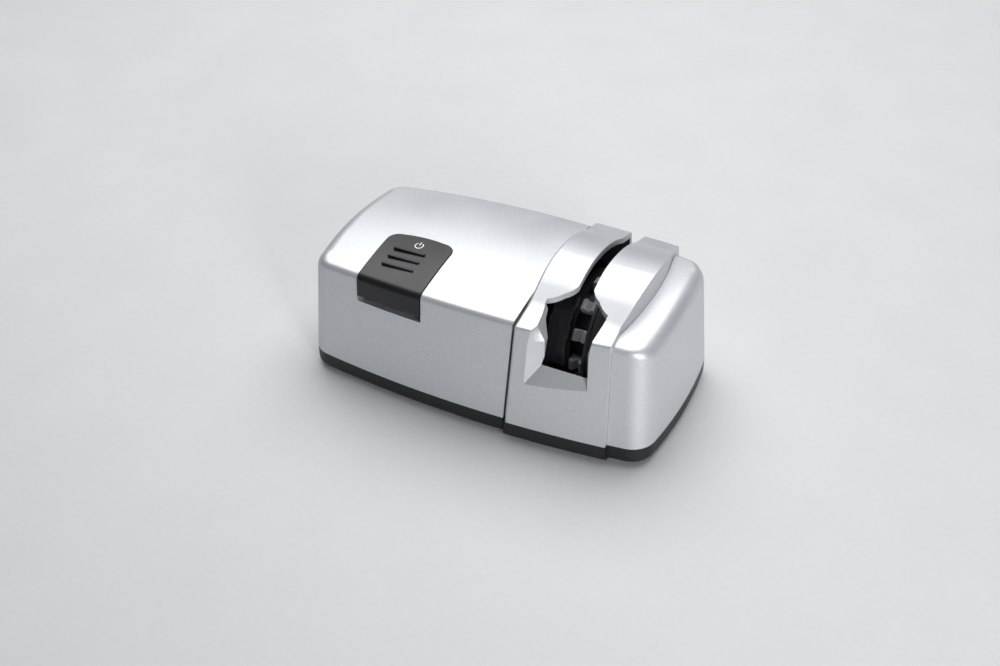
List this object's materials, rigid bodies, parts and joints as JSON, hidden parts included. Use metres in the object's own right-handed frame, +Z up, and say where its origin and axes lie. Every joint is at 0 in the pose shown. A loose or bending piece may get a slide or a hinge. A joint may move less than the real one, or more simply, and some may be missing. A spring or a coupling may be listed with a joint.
{
  "type": "electric knife sharpener",
  "caption": "Table-top electric knife sharpener: silver motor unit with a hinged black power button and a slide-off head whose arched band holds a slotted grinding wheel.",
  "frame": {"origin": "centre of the footprint, on the surface that the feet stand on", "axes": "+X along the longest side towards the sharpening head, -Y towards the user at the button side, +Z up"},
  "size_m": [0.19, 0.1038, 0.0803],
  "materials": {
    "silver_shell": "satin metallic silver lacquer on moulded plastic",
    "black_base": "fine satin",
    "button_black": "satin",
    "guide_black": "satin",
    "guide_grey": "satin",
    "wheel_black": "satin",
    "abrasive": "fine grained ceramic",
    "steel": "ground",
    "screw_steel": "plain",
    "brass": "turned",
    "gear_plastic": "moulded",
    "motor_can": "plated",
    "plate_steel": "plain",
    "switch_black": "moulded",
    "switch_red": "moulded",
    "cell_wrap": "plain dark wrap",
    "contact_metal": "plated",
    "rubber": "matt"
  },
  "bodies": {
    "main_unit": {"main_housing": "silver_shell", "main_base": "black_base", "bulkhead": "black_base", "battery_cells": "cell_wrap", "battery_contacts": "contact_metal", "battery_springs": "contact_metal", "motor": "motor_can", "gear_plate": "plate_steel", "output_bush": "brass", "switch_body": "switch_black", "button_pin": "steel", "unit_screws": "screw_steel", "unit_feet": "rubber"},
    "button": {"power_button": "button_black"},
    "plunger": {"switch_plunger": "switch_red"},
    "door": {"battery_door": "black_base"},
    "output_drive": {"output_shaft": "steel", "drive_gear": "gear_plastic", "drive_dog": "gear_plastic"},
    "motor_rotor": {"motor_shaft": "steel", "motor_pinion": "brass"},
    "head": {"saddle_cover": "silver_shell", "end_cap": "silver_shell", "head_base": "black_base", "knife_guide_left": "guide_black", "knife_guide_right": "guide_grey", "spindle_bushes": "brass", "head_feet": "rubber", "head_screws": "screw_steel"},
    "wheel": {"wheel_disc_left": "wheel_black", "wheel_disc_right": "wheel_black", "wheel_core": "wheel_black", "abrasive_blocks": "abrasive", "wheel_spindle": "steel", "driven_dog": "gear_plastic"}
  },
  "joints": [
    {"name": "button_press", "type": "hinge", "parent": "main_unit", "child": "button", "pos_m": [-0.0423, -0.012, 0.0647], "axis": [1, 0, 0], "range_deg": [0, 3.3], "stiffness_Nm_per_rad": 0.6, "springref_deg": -2.86},
    {"name": "plunger_travel", "type": "slide", "parent": "main_unit", "child": "plunger", "axis": [0, 0, -1], "range_m": [0, 0.0014]},
    {"name": "door_release", "type": "slide", "parent": "main_unit", "child": "door", "axis": [0, 0, -1], "range_m": [0, 0.01]},
    {"name": "output_spin", "type": "hinge", "parent": "main_unit", "child": "output_drive", "pos_m": [0.01, 0, 0.038], "axis": [1, 0, 0], "continuous": true},
    {"name": "motor_spin", "type": "hinge", "parent": "main_unit", "child": "motor_rotor", "pos_m": [0, 0.01358, 0.02442], "axis": [1, 0, 0], "continuous": true},
    {"name": "head_release", "type": "slide", "parent": "main_unit", "child": "head", "axis": [1, 0, 0], "range_m": [0, 0.02]},
    {"name": "wheel_spin", "type": "hinge", "parent": "head", "child": "wheel", "pos_m": [0.0499, 0, 0.038], "axis": [1, 0, 0], "continuous": true}
  ],
  "couplings": [
    {"joint": "plunger_travel", "follows": "button_press", "m_per_rad": 0.015},
    {"joint": "output_spin", "follows": "wheel_spin", "ratio": 1},
    {"joint": "motor_spin", "follows": "wheel_spin", "ratio": -3}
  ]
}
